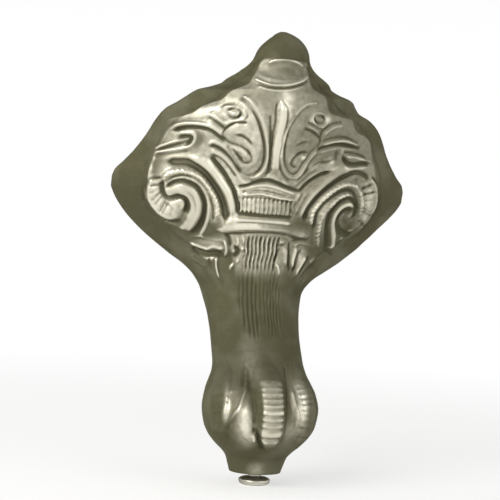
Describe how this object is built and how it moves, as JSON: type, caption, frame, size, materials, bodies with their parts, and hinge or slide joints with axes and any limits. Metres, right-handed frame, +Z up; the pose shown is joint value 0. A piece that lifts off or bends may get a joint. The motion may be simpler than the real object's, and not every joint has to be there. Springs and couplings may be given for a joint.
{
  "type": "claw and ball foot",
  "caption": "Cast bathtub foot with a hollow back, a wide carved wing with volutes and palmette, a claw on a ball and a levelling screw.",
  "frame": {"origin": "on the floor, centre of the underside of the levelling screw's head", "axes": "+Z up, carved front faces -Y, +X to the right hand of someone behind the foot"},
  "size_m": [0.1498, 0.0701, 0.22],
  "materials": {
    "casting": "brushed nickel plate, darker in the recesses",
    "screw": "nickel plated, smooth head"
  },
  "bodies": {
    "foot": {"foot_casting": "casting"},
    "leveller": {"levelling_screw": "screw"}
  },
  "joints": [
    {"name": "levelling_slide", "type": "slide", "parent": "foot", "child": "leveller", "axis": [0, 0, -1], "range_m": [-0.0022, 0.01]}
  ]
}
